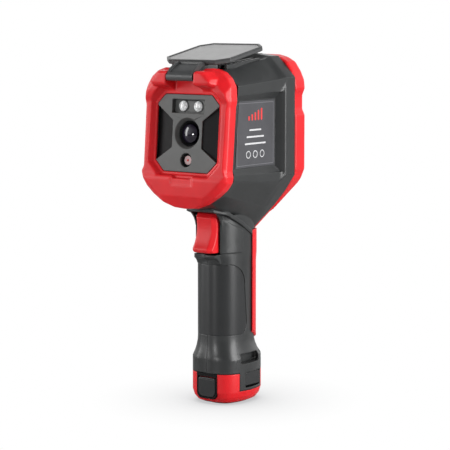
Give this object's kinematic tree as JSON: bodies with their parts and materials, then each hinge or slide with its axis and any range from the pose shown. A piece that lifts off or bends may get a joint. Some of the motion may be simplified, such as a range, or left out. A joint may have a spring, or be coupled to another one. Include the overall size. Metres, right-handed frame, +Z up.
{
  "type": "handheld thermal imaging camera",
  "caption": "Pistol-grip thermal imager with flip-up lens cover, recessed infrared lens, work lamps, rear display and keys, trigger and a battery pack in the foot of the handle.",
  "frame": {"origin": "centre of the flat underside of the battery pack", "axes": "+Z up the handle, -Y the way the lens looks, X = 0 the plane of symmetry"},
  "size_m": [0.0772, 0.0884, 0.2383],
  "materials": {
    "red_rubber": "satin moulded red overmould",
    "housing_plastic": "fine spark-eroded texture, dark grey",
    "soft_grip": "satin soft-touch grip",
    "face_plastic": "fine matt mid grey",
    "black_plastic": "matt black",
    "cover_plastic": "satin grey",
    "lens_glass": "coated infrared lens",
    "clear_plastic": "clear moulded lens",
    "display_glass": "cover glass",
    "label_film": "matt film",
    "steel": "machined",
    "brass": "machined",
    "alloy": "cast and machined",
    "board_green": "solder mask",
    "cell_wrap": "shrink sleeve",
    "key_rubber": "moulded keys",
    "film": "polyimide film",
    "led_ceramic": "phosphor on ceramic"
  },
  "bodies": {
    "camera_body": {"housing_right": "housing_plastic", "housing_left": "housing_plastic", "grip_overmould": "soft_grip", "front_bezel": "red_rubber", "faceplate": "face_plastic", "face_inserts": "black_plastic", "ir_lens": "lens_glass", "lens_barrel": "black_plastic", "lens_ring": "alloy", "lens_oring": "key_rubber", "thermal_core": "alloy", "camera_module": "black_plastic", "port_window": "clear_plastic", "lamp_lenses": "clear_plastic", "lamp_leds": "led_ceramic", "lamp_board": "board_green", "core_bracket": "steel", "core_ribbon": "film", "cover_pin": "steel", "rear_bumper": "red_rubber", "back_strip": "red_rubber", "rear_cover": "housing_plastic", "display_window": "display_glass", "lcd_module": "alloy", "keypad_sheet": "key_rubber", "main_board": "board_green", "board_chips": "black_plastic", "board_screws": "steel", "usb_port": "steel", "card_slot": "steel", "trigger_pin": "steel", "trigger_switch": "black_plastic", "label_right": "label_film", "label_left": "label_film", "housing_screws": "steel", "housing_contacts": "brass"},
    "lens_cover_body": {"lens_cover": "cover_plastic", "cover_rim": "cover_plastic", "cover_pad": "cover_plastic"},
    "trigger_body": {"trigger": "red_rubber"},
    "plunger_body": {"switch_plunger": "black_plastic"},
    "shutter_body": {"shutter_blade": "steel"},
    "port_cover_body": {"port_cover": "soft_grip"},
    "battery_body": {"battery_shell": "red_rubber", "battery_tower": "black_plastic", "battery_cell": "cell_wrap", "cell_board": "board_green", "pack_contacts": "brass", "tripod_insert": "brass", "charge_port": "steel", "charge_frame": "black_plastic"},
    "charge_flap_body": {"charge_flap": "soft_grip"},
    "release_right_body": {"release_button_right": "soft_grip"},
    "release_left_body": {"release_button_left": "soft_grip"},
    "key_ring_body": {"key_ring": "key_rubber"},
    "key_ok_body": {"key_ok": "key_rubber"},
    "key_menu_body": {"key_menu": "key_rubber"},
    "key_view_body": {"key_view": "key_rubber"},
    "key_lamp_body": {"key_lamp": "key_rubber"},
    "key_power_body": {"key_power": "red_rubber"}
  },
  "joints": [
    {"name": "lens_cover_hinge", "type": "hinge", "parent": "camera_body", "child": "lens_cover_body", "pos_m": [0, -0.0488, 0.21792], "axis": [1, 0, 0], "range_deg": [0, 254]},
    {"name": "trigger_hinge", "type": "hinge", "parent": "camera_body", "child": "trigger_body", "pos_m": [0, -0.0204, 0.1256], "axis": [1, 0, 0], "range_deg": [0, 9], "stiffness_Nm_per_rad": 0.05},
    {"name": "switch_plunger_slide", "type": "slide", "parent": "camera_body", "child": "plunger_body", "axis": [0, 1, 0], "range_m": [0, 0.0022]},
    {"name": "shutter_slide", "type": "slide", "parent": "camera_body", "child": "shutter_body", "axis": [-1, 0, 0], "range_m": [0, 0.0086]},
    {"name": "port_cover_hinge", "type": "hinge", "parent": "camera_body", "child": "port_cover_body", "pos_m": [0, 0.0223, 0.2311], "axis": [-1, 0, 0], "range_deg": [0, 95]},
    {"name": "battery_slide", "type": "slide", "parent": "camera_body", "child": "battery_body", "axis": [0, 0, -1], "range_m": [0, 0.095]},
    {"name": "charge_flap_hinge", "type": "hinge", "parent": "battery_body", "child": "charge_flap_body", "pos_m": [0, -0.0217, 0.0172], "axis": [-1, 0, 0], "range_deg": [0, 100]},
    {"name": "release_right_slide", "type": "slide", "parent": "camera_body", "child": "release_right_body", "axis": [-1, 0, 0], "range_m": [0, 0.0011]},
    {"name": "release_left_slide", "type": "slide", "parent": "camera_body", "child": "release_left_body", "axis": [1, 0, 0], "range_m": [0, 0.0011]},
    {"name": "key_ring_press", "type": "slide", "parent": "camera_body", "child": "key_ring_body", "axis": [0, -1, 0], "range_m": [0, 0.0006]},
    {"name": "key_ok_press", "type": "slide", "parent": "camera_body", "child": "key_ok_body", "axis": [0, -1, 0], "range_m": [0, 0.0006]},
    {"name": "key_menu_press", "type": "slide", "parent": "camera_body", "child": "key_menu_body", "axis": [0, -1, 0], "range_m": [0, 0.0006]},
    {"name": "key_view_press", "type": "slide", "parent": "camera_body", "child": "key_view_body", "axis": [0, -1, 0], "range_m": [0, 0.0006]},
    {"name": "key_lamp_press", "type": "slide", "parent": "camera_body", "child": "key_lamp_body", "axis": [0, -1, 0], "range_m": [0, 0.0006]},
    {"name": "key_power_press", "type": "slide", "parent": "camera_body", "child": "key_power_body", "axis": [0, -1, 0], "range_m": [0, 0.0006]}
  ],
  "couplings": [
    {"joint": "switch_plunger_slide", "follows": "trigger_hinge", "m_per_rad": 0.014}
  ]
}
